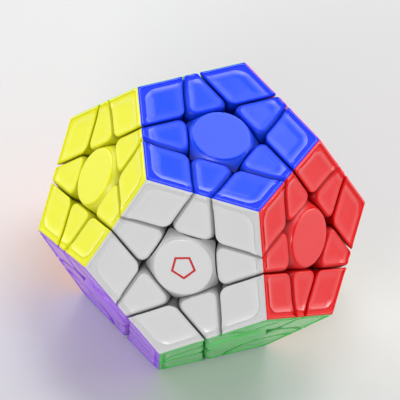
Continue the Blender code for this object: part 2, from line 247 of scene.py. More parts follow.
def layer_side(points, name):
    """Distance to the lower side of the layer that turns with a face."""
    height = points @ normal_of(name)
    radius = np.sqrt(np.maximum((points ** 2).sum(1) - height ** 2, 0))
    flat = CUT_DEPTH - height
    shoulder = np.array((SKIN_RADIUS - SHOULDER_WIDTH, CUT_DEPTH))
    neck = np.array((NECK_DISTANCE * sin(NECK_ANGLE), NECK_DISTANCE * cos(NECK_ANGLE)))
    along = (shoulder - neck) / np.linalg.norm(shoulder - neck)
    slope = (radius - shoulder[0]) * along[1] - (height - shoulder[1]) * along[0]
    sphere = np.linalg.norm(points, axis=1) - NECK_DISTANCE
    cone = radius * cos(FOOT_ANGLE) - height * sin(FOOT_ANGLE)
    side = np.minimum(np.minimum(flat, slope), np.maximum(sphere, cone))
    return np.maximum(LAYER_END - height, side)


def tip_radius(points, at_skin):
    """Rounding of the upright corners: full near the skin, small at the neck."""
    distance = np.linalg.norm(points, axis=1)
    share = np.clip((distance - NECK_DISTANCE) / (FACE_DISTANCE - NECK_DISTANCE), 0, 1)
    return TIP_AT_NECK + (at_skin - TIP_AT_NECK) * share


def inside_of(points, name):
    return layer_side(points, name) + SEAM / 2


def outside_of(points, name):
    return SEAM / 2 - layer_side(points, name)


def corner_side(points):
    radius = tip_radius(points, CORNER_TIP)
    pair = smooth_max(inside_of(points, "blue"), inside_of(points, "white"), radius)
    return smooth_max(pair, inside_of(points, "red"), radius)


def edge_side(points):
    within = np.maximum(inside_of(points, "blue"), inside_of(points, "white"))
    beyond = np.maximum(outside_of(points, "yellow"), outside_of(points, "red"))
    return smooth_max(within, beyond, tip_radius(points, EDGE_TIP))


def centre_side(points):
    radius = tip_radius(points, CENTRE_TIP)
    side = outside_of(points, UPPER_RING[0])
    for name in UPPER_RING[1:]:
        side = smooth_max(side, outside_of(points, name), radius)
    return side


def step(value, start, end):
    share = np.clip((value - start) / (end - start), 0, 1)
    return share * share * (3 - 2 * share)


def bowl(value, reach):
    """0 at its border, rising along a parabola to 1 where it is flat."""
    share = np.clip(value / reach, 0, 1)
    return 1 - (1 - share) ** 2


def groove_places(to_edges):
    """Distances from the outer edge as the groove's outer side and its inner side follow it."""
    if len(to_edges) == 1:
        return to_edges[0], to_edges[0]
    return tuple(-smooth_max(-to_edges[0], -to_edges[1], bend)
                 for bend in (GROOVE_BEND, DISH_BEND))


def relief(to_edges, to_seam):
    """Depth of a tile below its face, from its distances to the outer edges and to the seams."""
    outer, inner = groove_places(to_edges)
    groove = step(outer, GROOVE_START, GROOVE_FLOOR) - step(inner, GROOVE_RISE, GROOVE_END)
    bead = np.exp(-((outer - GROOVE_START) / BEAD_WIDTH) ** 2)
    dish = DISH_DEPTH * bowl(inner - GROOVE_END, DISH_REACH) + RIM_FALL * bowl(to_seam, RIM_REACH)
    return GROOVE_DEPTH * np.maximum(groove, 0) - BEAD_HEIGHT * bead + dish


def edge_distances(points, name, faces):
    """Distances along one tile from its outer edges, which it shares with the other tiles."""
    height = points @ normal_of(name)
    return [APOTHEM - (points @ normal_of(other) - height * COS_AXES) / SIN_AXES
            for other in faces if other != name]


def top_side(points, faces, side):
    """The outer skin of a moulding with tiles on these faces."""
    tiles = []
    for name in faces:
        height = points @ normal_of(name) - FACE_DISTANCE
        tiles.append(height + relief(edge_distances(points, name, faces), -side))
    skin = tiles[0]
    for tile in tiles[1:]:
        skin = smooth_max(skin, tile, EDGE_ROUND)
    return skin


def moulding_field(faces, side_field):
    def field(points):
        side = side_field(points)
        return smooth_max(side, top_side(points, faces, side), RIM)
    return field


# Grids of points.

def root_along(field, start, way, reach):
    """Where rays from inside points first leave a field. All the rays are halved together."""
    low = np.zeros(len(way))
    high = np.full(len(way), reach)
    for _ in range(HALVINGS):
        middle = (low + high) / 2
        outside = field(start + way * middle[:, None]) > 0
        high = np.where(outside, middle, high)
        low = np.where(outside, low, middle)
    return start + way * low[:, None]


def settled(grid, field):
    """The grid's points moved onto the field's zero level, along its slope."""
    points = grid.reshape(-1, 3).copy()
    for _ in range(SETTLING_STEPS):
        value = field(points)
        slope = np.stack([
            (field(points + SETTLING_PROBE * axis) - field(points - SETTLING_PROBE * axis))
            / (2 * SETTLING_PROBE)
            for axis in np.eye(3)
        ], axis=1)
        shift = value / np.maximum((slope ** 2).sum(1), LEAST_SLOPE ** 2)
        points -= slope * np.clip(shift, -SETTLING_LIMIT, SETTLING_LIMIT)[:, None]
    return points.reshape(grid.shape)


def spread(points, count):
    """Indices that cut a dense curve into about equal shares of length and of turning."""
    ways = np.diff(points, axis=0)
    lengths = np.linalg.norm(ways, axis=1)
    ways /= lengths[:, None]
    turns = np.arccos(np.clip((ways[1:] * ways[:-1]).sum(1), -1, 1))
    turns = np.concatenate([[0], turns])
    weight = lengths / lengths.sum() + turns / turns.sum()
    along = np.concatenate([[0], np.cumsum(weight)])
    return np.interp(np.linspace(0, along[-1], count), along, np.arange(len(points)))


def tile_outline(normal, middle, outer_points, side_field, seam_count):
    """A tile's closed outline: its points on the outer edge, then the seam back round."""
    first, last = outer_points[-1] - middle, outer_points[0] - middle
    across = np.cross(normal, first)
    end = np.arctan2(last @ across / np.linalg.norm(across), last @ first / np.linalg.norm(first))
    if np.cross(first, outer_points[-2] - middle) @ normal > 0:
        end = end - 2 * pi if end > 0 else end
    else:
        end = end + 2 * pi if end < 0 else end
    unit = first / np.linalg.norm(first)
    side = across / np.linalg.norm(across)

    def rays(angles):
        way = np.cos(angles)[:, None] * unit + np.sin(angles)[:, None] * side
        return root_along(side_field, middle, way, EDGE_LENGTH / 2)

    dense = np.linspace(0, end, OUTLINE_SAMPLES)
    picks = spread(rays(dense), seam_count)
    seam = rays(np.interp(picks, np.arange(len(dense)), dense))
    return np.concatenate([outer_points, seam[1:-1]]), seam


def tile_grid(outline, middle, rows):
    """Shrunken copies of the outline. rows gives how much nearer the middle each one is."""
    return middle + (1 - rows)[:, None, None] * (outline - middle)[None]


def tile_slots(grid, name, faces, slot, side_field):
    """Slots for a tile's quads. The strip along the outer edge, the groove and the rounded rims
    share one with painted shade, and the bead and the dish have the tile's own."""
    middles = (grid[:-1] + grid[1:]) / 2
    middles = (middles + np.roll(middles, -1, axis=1)) / 2
    flat = middles.reshape(-1, 3)
    outer, inner = groove_places(edge_distances(flat, name, faces))
    strip = outer < GROOVE_START - BEAD_WIDTH
    groove = (outer > GROOVE_START + BEAD_WIDTH / 2) & (inner < (GROOVE_RISE + GROOVE_END) / 2)
    rim = side_field(flat) > -RIM_SHADE_WIDTH
    return np.where(strip | groove | rim, slot + len(faces), slot).reshape(middles.shape[:2])


def add_painted_highlight_and_shade(mesh, shade_at):
    """Stores how far each point's colour moves to its second colour: painted highlight on tiles,
    painted shade on skirts.
    """
    points = np.array([vertex.co for vertex in mesh.vertices])
    shade = mesh.attributes.new("shade", "FLOAT", "POINT")
    shade.data.foreach_set("value", shade_at(points))
    return mesh


def tile_painted_highlight(points, faces, side_field):
    """Painted highlight: 1 along the dish's border, fading into it, and up to a third of that
    along the seams.
    """
    heights = np.stack([points @ normal_of(name) for name in faces])
    to_seam = -side_field(points)
    flat = step(to_seam, HIGHLIGHT_START, HIGHLIGHT_FULL)
    near_seam = flat * (1 - step(to_seam, HIGHLIGHT_FULL, RIM + RIM_REACH))
    shade = np.zeros(len(points))
    for name, height in zip(faces, heights):
        _, inner = groove_places(edge_distances(points, name, faces))
        ring = flat * (1 - step(inner, GROOVE_END, GROOVE_END + RING_WIDTH))
        shade = np.where(height == heights.max(axis=0), np.maximum(ring, near_seam / 3), shade)
    return shade


class Shell:
    """Collects grids of points as quads, each with a material slot."""

    def __init__(self):
        self.points, self.faces, self.slots = [], [], []

    def grid(self, grid, slots, closed=True):
        rows, columns = grid.shape[:2]
        first = len(self.points)
        self.points.extend(map(tuple, grid.reshape(-1, 3)))
        for row in range(rows - 1):
            for column in range(columns if closed else columns - 1):
                after = (column + 1) % columns
                base = first + row * columns
                self.faces.append((base + column, base + after,
                                   base + columns + after, base + columns + column))
                slot = slots
                if np.ndim(slots) == 1:
                    slot = slots[column]
                elif np.ndim(slots) == 2:
                    slot = slots[row][column]
                self.slots.append(int(slot))

    def fan(self, ring, middle, slot):
        first, columns = len(self.points), len(ring)
        self.points.extend(map(tuple, ring))
        self.points.append(tuple(middle))
        for column in range(columns):
            after = (column + 1) % columns
            self.faces.append((first + column, first + after, first + columns))
            self.slots.append(slot)

    def mesh(self, name):
        shape = bmesh.new()
        points = [shape.verts.new(point) for point in self.points]
        for face, slot in zip(self.faces, self.slots):
            shape.faces.new([points[index] for index in face]).material_index = slot
        bmesh.ops.remove_doubles(shape, verts=shape.verts[:], dist=WELD_DISTANCE)
        bmesh.ops.dissolve_degenerate(shape, edges=shape.edges[:], dist=THINNEST_EDGE)
        bmesh.ops.recalc_face_normals(shape, faces=shape.faces[:])
        mesh = bpy.data.meshes.new(name)
        shape.to_mesh(mesh)
        shape.free()
        mesh.shade_smooth()
        mesh.set_sharp_from_angle(angle=SHARP_ANGLE)
        return mesh


def along_outer_edge(start, end, spacing_start, spacing_end):
    """Distances along an outer edge, close together near its ends."""
    length = np.linalg.norm(end - start)
    near = np.array(spacing_start)
    far = length - np.array(spacing_end)[::-1]
    middle = np.linspace(near[-1], far[0], MIDDLE_POINTS + 2)[1:-1]
    places = np.concatenate([near, middle, far])
    return start + (end - start) * (places / length)[:, None]


CLOSE = (0, 0.00008, 0.00018, 0.0003, 0.00045, 0.00065, 0.001)
VERTEX_CLOSE = (0, 0.0001, 0.0002, 0.00032, 0.00046, 0.00064, 0.00085, 0.0011, 0.0014, 0.0017,
                0.002, 0.00235, 0.0027, 0.00305, 0.0034, 0.0038, 0.0042, 0.0047, 0.0053)


def polar_frame(axis):
    helper = np.array((0.0, 0.0, 1.0)) if abs(axis[2]) < 0.9 else np.array((1.0, 0.0, 0.0))
    first = np.cross(helper, axis)
    first /= np.linalg.norm(first)
    return first, np.cross(axis, first)


def side_ring(columns, axis, distances, side_field, on_plane=False):
    """One ring of a wall. Each column keeps its azimuth round the axis, at its own distance."""
    first, second = polar_frame(axis)
    azimuth = np.arctan2(columns @ second, columns @ first)
    out = np.cos(azimuth)[:, None] * first + np.sin(azimuth)[:, None] * second
    low, high = np.zeros(len(columns)), np.full(len(columns), WIDEST_ANGLE)
    distances = np.broadcast_to(distances, low.shape)

    def at(angle):
        ray = np.cos(angle)[:, None] * axis + np.sin(angle)[:, None] * out
        length = distances / np.cos(angle) if on_plane else distances
        return ray * length[:, None]

    for _ in range(HALVINGS):
        middle = (low + high) / 2
        outside = side_field(at(middle)) > 0
        high = np.where(outside, middle, high)
        low = np.where(outside, low, middle)
    return at(low)


def wall_grids(loop, axis, side_field, field):
    """The walls from the seam's rim to the neck, and then the hooked foot."""
    radius = np.linalg.norm(loop, axis=1)
    upper = [loop]
    upper += [side_ring(loop, axis, radius - depth, side_field) for depth in WALL_ROWS[1:]]
    neck = NECK_DISTANCE + SEAM / 2
    for share in np.linspace(0, 1, NECK_STEPS + 1)[1:]:
        distance = (radius - WALL_ROWS[-1]) * (1 - share) + (neck + SHOULDER_WIDTH / 10) * share
        upper.append(side_ring(loop, axis, distance, side_field))
    upper = settled(np.array(upper), field)
    foot = [upper[-1]]
    for distance in (neck - SURFACE_GAP, NECK_DISTANCE - SEAM / 2 + SURFACE_GAP,
                     NECK_DISTANCE - SEAM / 2 - SURFACE_GAP, (NECK_DISTANCE + FOOT_DISTANCE) / 2):
        foot.append(side_ring(loop, axis, distance, side_field))
    foot.append(side_ring(loop, axis, FOOT_DISTANCE, side_field, on_plane=True))
    return upper, np.array(foot)


def pocket_grid(ring, axis, outline, top):
    """From the foot's underside into the pocket that makes the moulding hollow."""
    first, second = polar_frame(axis)
    azimuth = np.arctan2(ring @ second, ring @ first)
    flat = outline(azimuth)
    rim = flat[0][:, None] * first + flat[1][:, None] * second
    return np.array([ring, rim + axis * FOOT_DISTANCE, rim + axis * top])


def add_walls(shell, loop, slots, axis, side_field, field, outline, top, dark_slot):
    upper, foot = wall_grids(loop, axis, side_field, field)
    tiles = slots.max()
    # Rims in the groove's painted shade, walls below in a darker painted shade, feet and pocket in
    # the dark inside.
    shell.grid(upper[:RIM_ROWS], slots + tiles)
    shell.grid(upper[RIM_ROWS - 1:], slots + 2 * tiles)
    shell.grid(foot, dark_slot)
    pocket = pocket_grid(foot[-1], axis, outline, top)
    shell.grid(pocket, dark_slot)
    shell.fan(pocket[-1], axis * top, dark_slot)


def corner_mesh():
    faces = ("blue", "white", "red")
    axis = sum(normal_of(name) for name in faces)
    axis /= np.linalg.norm(axis)
    vertex = axis * CORNER_DISTANCE
    field = moulding_field(faces, corner_side)
    ends = {}
    for name in faces:
        others = [other for other in faces if other != name]
        way = np.cross(normal_of(others[0]), normal_of(others[1]))
        way /= np.linalg.norm(way)
        if way @ normal_of(name) > 0:
            way = -way
        end = root_along(corner_side, vertex, way[None], EDGE_LENGTH / 2)[0]
        ends[frozenset(others)] = along_outer_edge(vertex, end, VERTEX_CLOSE, CLOSE)
    shell = Shell()
    loop, slots = [], []
    for index, name in enumerate(faces):
        before, after = faces[index - 1], faces[(index + 1) % 3]
        normal = normal_of(name)
        to_before, to_after = ends[frozenset((name, before))], ends[frozenset((name, after))]
        outer = np.concatenate([to_before[::-1], to_after[1:]])
        reach = (APOTHEM + TILE_RADIUS + SEAM / 2) / 2
        middle = normal * FACE_DISTANCE + in_plane(name, {before: reach, after: reach})
        outline, seam = tile_outline(normal, middle, outer, corner_side, CORNER_SEAM_POINTS)
        rows = TILE_ROWS / (APOTHEM - reach)
        grid = settled(tile_grid(outline, middle, rows), field)
        shell.grid(grid, tile_slots(grid, name, faces, index + 1, corner_side))
        shell.fan(grid[-1], settled(middle[None], field)[0], index + 1)
        loop.append(seam[::-1][:-1])
        slots += [index + 1] * (len(seam) - 1)
    points, order = order_loop(loop, axis)
    add_walls(shell, points, np.array(slots)[order], axis, corner_side, field,
              lambda azimuth: POCKET_RADIUS * np.array((np.cos(azimuth), np.sin(azimuth))),
              CORNER_DISTANCE - 2 * SKIN, 0)
    return add_painted_highlight_and_shade(shell.mesh("corner"), lambda points: tile_painted_highlight(points, faces, corner_side))


def order_loop(parts, axis):
    """Seam curves of several tiles as one closed loop round the axis, with that order."""
    points = np.concatenate(parts)
    first, second = polar_frame(axis)
    azimuth = np.arctan2(points @ second, points @ first)
    order = np.argsort(azimuth)
    return points[order], order


def in_plane(name, reaches):
    """The point of a face's plane at these reaches towards two neighbouring faces."""
    first, second = reaches
    normal = normal_of(name)
    ways = []
    for other in (first, second):
        way = normal_of(other) - normal * COS_AXES
        ways.append(way / np.linalg.norm(way))
    basis = np.stack([ways[0], ways[1], normal])
    return np.linalg.solve(basis, np.array((reaches[first], reaches[second], 0.0)))


def edge_mesh():
    faces = ("blue", "white")
    axis = sum(normal_of(name) for name in faces)
    axis /= np.linalg.norm(axis)
    field = moulding_field(faces, edge_side)
    height = FACE_DISTANCE / (axis @ normal_of("blue"))
    middle_of_edge = axis * height
    way = np.cross(normal_of("blue"), normal_of("white"))
    way /= np.linalg.norm(way)
    ends = root_along(edge_side, middle_of_edge, np.array((way, -way)), EDGE_LENGTH / 2)
    outer = along_outer_edge(ends[0], ends[1], CLOSE, CLOSE)
    shell = Shell()
    loop, slots = [], []
    for index, (name, other) in enumerate((faces, faces[::-1])):
        normal = normal_of(name)
        to_other = normal_of(other) - normal * COS_AXES
        to_other /= np.linalg.norm(to_other)
        reach = TILE_RADIUS + EDGE_TILE_REACH
        middle = normal * FACE_DISTANCE + to_other * reach
        outline, seam = tile_outline(normal, middle, outer, edge_side, EDGE_SEAM_POINTS)
        rows = TILE_ROWS / TILE_ROWS[-1] * EDGE_NARROWING
        rows = np.where(TILE_ROWS < EQUAL_ROWS, TILE_ROWS / (APOTHEM - reach), rows)
        grid = settled(tile_grid(outline, middle, rows), field)
        shell.grid(grid, tile_slots(grid, name, faces, index + 1, edge_side))
        shell.fan(grid[-1], settled(middle[None], field)[0], index + 1)
        loop.append(seam[:-1] if index else seam[1:])
        slots += [index + 1] * (len(seam) - 1)
    points, order = order_loop(loop, axis)
    half = np.array((EDGE_POCKET_LENGTH, EDGE_POCKET_WIDTH)) / 2
    first, _ = polar_frame(axis)
    if abs(first @ way) > 0.5:
        half = half[::-1]

    def slot_outline(azimuth):
        ray = np.array((np.cos(azimuth), np.sin(azimuth)))
        scale = ((np.abs(ray[0]) / half[0]) ** POCKET_POWER
                 + (np.abs(ray[1]) / half[1]) ** POCKET_POWER)
        return ray / scale ** (1 / POCKET_POWER)

    add_walls(shell, points, np.array(slots)[order], axis, edge_side, field,
              slot_outline, height - 2 * SKIN, 0)
    return add_painted_highlight_and_shade(shell.mesh("edge"), lambda points: tile_painted_highlight(points, faces, edge_side))


def centre_mesh():
    """Flat cap, hollow skirt, walls between the five neighbours, and a stem with its chamber."""
    azimuth = 2 * pi * np.arange(CAP_SIDES) / CAP_SIDES
    out = np.stack([np.cos(azimuth), np.sin(azimuth), 0 * azimuth], axis=1)
    up = np.array((0.0, 0.0, 1.0))

    def fall(radius):
        share = np.clip((radius - CAP_RADIUS) / SKIRT_REACH, 0, 1)
        return CAP_ROUND + (SKIRT_DEPTH - CAP_ROUND) * (1 - (1 - share) ** SKIRT_CURVE)

    low, high = np.full(CAP_SIDES, CAP_RADIUS * 0.9), np.full(CAP_SIDES, 2 * TILE_RADIUS)
    for _ in range(HALVINGS):
        middle = (low + high) / 2
        points = out * middle[:, None] + up * (FACE_DISTANCE - fall(middle))[:, None]
        outside = centre_side(points) > 0
        high, low = np.where(outside, middle, high), np.where(outside, low, middle)
    border = low
    rings = []
    for radius in np.linspace(CAP_START, 1, CAP_ROWS) * (CAP_RADIUS - CAP_ROUND):
        rings.append(out * radius + up * FACE_DISTANCE)
    for angle in np.linspace(0, pi / 2, RIM_ROWS + 1)[1:]:
        rings.append(out * (CAP_RADIUS - CAP_ROUND * (1 - sin(angle)))
                     + up * (FACE_DISTANCE - CAP_ROUND * (1 - cos(angle))))
    for share in np.linspace(0, 1, SKIRT_ROWS + 1)[1:]:
        radius = CAP_RADIUS + (border - CAP_RADIUS) * share
        rings.append(out * radius[:, None] + up * (FACE_DISTANCE - fall(radius))[:, None])
    shell = Shell()
    shell.fan(rings[0], up * FACE_DISTANCE, 2)
    loop = rings[-1]
    radius = np.linalg.norm(loop, axis=1)
    neck = NECK_DISTANCE + SEAM / 2
    for share in np.linspace(0, 1, NECK_STEPS + 1)[1:]:
        distance = radius * (1 - share) + (neck + SURFACE_GAP) * share
        rings.append(side_ring(loop, up, distance, centre_side))
    # The cap's flat top has a painted reflection, and the skirt painted shade.
    shell.grid(np.array(rings[:CAP_ROWS]), 2)
    shell.grid(np.array(rings[CAP_ROWS - 1:CAP_ROWS + RIM_ROWS]), 3)
    shell.grid(np.array(rings[CAP_ROWS + RIM_ROWS - 1:]), 1)
    lower = [rings[-1]]
    for distance in (neck - SURFACE_GAP, (NECK_DISTANCE + FOOT_DISTANCE) / 2):
        lower.append(side_ring(loop, up, distance, centre_side))
    lower.append(side_ring(loop, up, FOOT_DISTANCE, centre_side, on_plane=True))
    for radius, height in ((STEM_RADIUS, FOOT_DISTANCE), (STEM_RADIUS, STEM_BOTTOM + POST_BREAK),
                           (STEM_RADIUS - POST_BREAK, STEM_BOTTOM), (HOLE_RADIUS, STEM_BOTTOM),
                           (HOLE_RADIUS, LEDGE_TOP), (CHAMBER_RADIUS, LEDGE_TOP),
                           (CHAMBER_RADIUS, CHAMBER_TOP)):
        lower.append(out * radius + up * height)
    shell.grid(np.array(lower), 0)
    shell.fan(lower[-1], up * CHAMBER_TOP, 0)

    # Painted shade: the skirt's colour darkens away from the cap and down its fall.
    def skirt_shade(points):
        outward = np.hypot(points[:, 0], points[:, 1]) - CAP_RADIUS
        below = FACE_DISTANCE - CAP_ROUND - points[:, 2]
        return step(np.maximum(outward, below), 0, SHADE_REACH)

    return add_painted_highlight_and_shade(shell.mesh("centre"), skirt_shade)


PLASTIC_IOR = 1.5
COAT_ROUGHNESS = 0.12
CLOUD_SCALE = 260            # cells per metre of the unevenness of the gloss
CLOUD_DETAIL = 3
ROUGHER, SMOOTHER = 0.05, 0.04
GRAIN_SCALE = 2600           # cells per metre of the faint moulded texture
GRAIN_DETAIL = 2
GRAIN_STRENGTH = 0.05
GRAIN_DEPTH = 0.00003
TILE_PAINTED_HIGHLIGHT = 0.10       # share of white in the painted highlight along a dish's border
# share of white painted on a cap's flat top as a reflection
CAP_PAINTED_REFLECTION = 0.046
GROOVE_PAINTED_SHADE = 1.25      # power that deepens the colour as painted shade in grooves, edge strips and seam rims
# share of the colour left on the walls in the seams, darkened as painted shade
WALL_PAINTED_SHADE = 0.6
# share of the colour left where a skirt's painted shade is deepest
SKIRT_PAINTED_SHADE = 0.22
# dark plastic of the mechanism; on the pieces' feet the same colour is painted shade deep in the
# seams
INSIDE_AND_SEAM_SHADE_COLOUR = (0.035, 0.032, 0.03)
STEEL_COLOUR = (0.56, 0.56, 0.55)
MARK_COLOUR = (0.62, 0.012, 0.02)


def plastic(name, colour, roughness, coat=0.0, specular=0.5):
    """Moulded plastic: an even colour, with fine variation in its gloss and a faint texture."""
    material = bpy.data.materials.new(name)
    material.use_nodes = True
    nodes, links = material.node_tree.nodes, material.node_tree.links
    shader = nodes["Principled BSDF"]
    shader.inputs["Base Color"].default_value = (*colour, 1)
    shader.inputs["IOR"].default_value = PLASTIC_IOR
    shader.inputs["Specular IOR Level"].default_value = specular
    shader.inputs["Coat Weight"].default_value = coat
    shader.inputs["Coat Roughness"].default_value = COAT_ROUGHNESS
    coordinates = nodes.new("ShaderNodeTexCoord")
    cloud = nodes.new("ShaderNodeTexNoise")
    cloud.inputs["Scale"].default_value = CLOUD_SCALE
    cloud.inputs["Detail"].default_value = CLOUD_DETAIL
    links.new(coordinates.outputs["Object"], cloud.inputs["Vector"])
    spread_out = nodes.new("ShaderNodeMapRange")
    spread_out.inputs["To Min"].default_value = roughness - SMOOTHER
    spread_out.inputs["To Max"].default_value = roughness + ROUGHER
    links.new(cloud.outputs["Fac"], spread_out.inputs["Value"])
    links.new(spread_out.outputs["Result"], shader.inputs["Roughness"])
    grain = nodes.new("ShaderNodeTexNoise")
    grain.inputs["Scale"].default_value = GRAIN_SCALE
    grain.inputs["Detail"].default_value = GRAIN_DETAIL
    links.new(coordinates.outputs["Object"], grain.inputs["Vector"])
    bump = nodes.new("ShaderNodeBump")
    bump.inputs["Strength"].default_value = GRAIN_STRENGTH
    bump.inputs["Distance"].default_value = GRAIN_DEPTH
    links.new(grain.outputs["Fac"], bump.inputs["Height"])
    links.new(bump.outputs["Normal"], shader.inputs["Normal"])
    return material


def scaled(colour, share):
    """A darker colour, for painted shade."""
    return tuple(share * value for value in colour)


def deepened(colour):
    """A more saturated and slightly darker colour, for painted shade."""
    return tuple(value ** GROOVE_PAINTED_SHADE for value in colour)


def lightened(colour, share):
    """A colour mixed with a share of white, for painted highlights and reflections."""
    return tuple(value + share * (1 - value) for value in colour)


def plastic_with_painted_highlight_and_shade(name, colour, second, roughness, coat=0.0, specular=0.5):
    """Plastic whose colour moves towards a second one by the mesh's attribute "shade", to paint
    highlights and shade.
    """
    material = plastic(name, colour, roughness, coat, specular)
    nodes, links = material.node_tree.nodes, material.node_tree.links
    shade = nodes.new("ShaderNodeAttribute")
    shade.attribute_name = "shade"
    mix = nodes.new("ShaderNodeMix")
    mix.data_type = "RGBA"
    mix.inputs["A"].default_value = (*colour, 1)
    mix.inputs["B"].default_value = (*second, 1)
    links.new(shade.outputs["Fac"], mix.inputs["Factor"])
    links.new(mix.outputs["Result"], nodes["Principled BSDF"].inputs["Base Color"])
    return material


# Tiles: the colour lightens by the attribute "shade" into a painted highlight along each dish's
# border and inside the seams.
TILES = {name: plastic_with_painted_highlight_and_shade(name + "_plastic", colour, lightened(colour, TILE_PAINTED_HIGHLIGHT),
                              roughness=0.24, coat=0.3, specular=0.3)
         for name, colour in COLOURS.items()}
# Grooves, edge strips and seam rims: the colour deepened as painted shade.
GROOVES = {name: plastic(name + "_groove_painted_shade", deepened(colour), roughness=0.4, specular=0.2)
           for name, colour in COLOURS.items()}
# Caps: the colour lightened as a painted reflection on the flat top.
CAPS = {name: plastic(name + "_cap", lightened(colour, CAP_PAINTED_REFLECTION), roughness=0.36,
                      specular=0.3)
        for name, colour in COLOURS.items()}
# Walls in the seams: the colour darkened as painted shade.
WALLS = {name: plastic(name + "_wall", scaled(colour, WALL_PAINTED_SHADE), roughness=0.4,
                       specular=0.3)
         for name, colour in COLOURS.items()}
# Skirts: the colour darkens by the attribute "shade" away from the cap, as painted shade.
SKIRTS = {name: plastic_with_painted_highlight_and_shade(name + "_skirt_painted_shade", colour, scaled(colour, SKIRT_PAINTED_SHADE),
                               roughness=0.42, specular=0.9)
          for name, colour in COLOURS.items()}
# The dark inside: the mechanism's plastic, and painted shade on the pieces' feet and pockets.
INNER = plastic("inner_plastic", INSIDE_AND_SEAM_SHADE_COLOUR, roughness=0.45)


def metal(name, colour, roughness):
    """Bare steel, with the same fine variation in its gloss."""
    material = plastic(name, colour, roughness)
    material.node_tree.nodes["Principled BSDF"].inputs["Metallic"].default_value = 1
    return material


def body_of(faces):
    for face in faces:
        if face in TURNING_FACES:
            return face + "_layer"
    return "core_body"


def materials_for(faces):
    """Slot 0 is the dark inside, which on the pieces' feet is painted shade deep in the seams. A
    centre then has its skirt in painted shade, its cap with a painted reflection and the cap's
    rim.
    Corners and edges have tiles with a painted highlight, then grooves, then walls, both in
    painted shade, with one of each for each face."""
    if len(faces) == 1:
        return [INNER, SKIRTS[faces[0]], CAPS[faces[0]], TILES[faces[0]]]
    return [INNER] + [kind[face] for kind in (TILES, GROOVES, WALLS) for face in faces]


def place(name, mesh, faces, turn, node):
    """One copy of a moulding in its own colours, standing for its CAD node."""
    own = mesh.copy()
    own.name = name
    own.transform(turn)
    for material in materials_for(faces):
        own.materials.append(material)
    piece = bpy.data.objects.new(name, own)
    bpy.context.scene.collection.objects.link(piece)
    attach(piece, body_of(faces))
    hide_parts(node)
    return piece


def build_puzzle():
    corner, edge, centre = corner_mesh(), edge_mesh(), centre_mesh()
    for faces in combinations(NORMALS, 3):
        if all(adjacent(*pair) for pair in combinations(faces, 2)):
            if not anticlockwise(*faces):
                faces = (faces[0], faces[2], faces[1])
            node = "corner_" + "_".join(faces)
            place("shell_of_" + node, corner, faces, turn_to(*faces), node)
    for pair in combinations(NORMALS, 2):
        if adjacent(*pair):
            node = "edge_" + "_".join(pair)
            place("shell_of_" + node, edge, pair, turn_to(*pair, third_face(*pair)), node)
    for name in NORMALS:
        side = next(other for other in NORMALS if adjacent(name, other))
        node = "core_and_rear_centres" if name in REAR_CENTRES else "centre_" + name
        turn = turn_to(name, side, third_face(name, side))
        place("shell_of_centre_" + name, centre, (name,), turn, node)


def lathe(name, profile, face, material):
    """A turned piece on a face's axis. The profile's points are (radius, height)."""
    azimuth = 2 * pi * np.arange(TURNED_SIDES) / TURNED_SIDES
    out = np.stack([np.cos(azimuth), np.sin(azimuth), 0 * azimuth], axis=1)
    up = np.array((0.0, 0.0, 1.0))
    shell = Shell()
    rings = np.array([out * radius + up * height for radius, height in profile if radius > 0])
    shell.grid(rings, 0)
    for ring, (radius, height) in ((rings[0], profile[0]), (rings[-1], profile[-1])):
        if radius == 0:
            shell.fan(ring, up * height, 0)
    if profile[0][0] > 0:
        shell.grid(np.array([rings[-1], rings[0]]), 0)
    return inner_piece(name, shell.mesh(name), face, material)


def inner_piece(name, mesh, face, material):
    """A piece of the mechanism. It stays with the core, on the axis of one face."""
    side = next(other for other in NORMALS if adjacent(face, other))
    mesh.transform(turn_to(face, side, third_face(face, side)))
    mesh.materials.append(material)
    piece = bpy.data.objects.new(name, mesh)
    bpy.context.scene.collection.objects.link(piece)
    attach(piece, "core_body")
    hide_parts("core_and_rear_centres")
    return piece


def spring_mesh(name):
    """A helix of round wire between the ledge and the washer."""
    length = WASHER_BOTTOM - LEDGE_TOP - 2 * WIRE_RADIUS - 2 * SPRING_GAP
    shell = Shell()
    turn = 2 * pi * np.arange(WIRE_SIDES) / WIRE_SIDES
    rings = []
    steps = SPRING_TURNS * SPRING_STEPS
    pitch = length / (2 * pi * SPRING_TURNS)
    for index in range(steps + 1):
        angle = 2 * pi * SPRING_TURNS * index / steps
        out = np.array((cos(angle), sin(angle), 0))
        way = np.array((-sin(angle) * SPRING_RADIUS, cos(angle) * SPRING_RADIUS, pitch))
        over = np.cross(out, way / np.linalg.norm(way))
        middle = out * SPRING_RADIUS
        middle[2] = LEDGE_TOP + SPRING_GAP + WIRE_RADIUS + length * index / steps
        rings.append(middle + WIRE_RADIUS * (np.cos(turn)[:, None] * out
                                             + np.sin(turn)[:, None] * over))
    shell.grid(np.array(rings), 0)
    for ring in (rings[0], rings[-1]):
        shell.fan(ring, ring.mean(axis=0), 0)
    return shell.mesh(name)


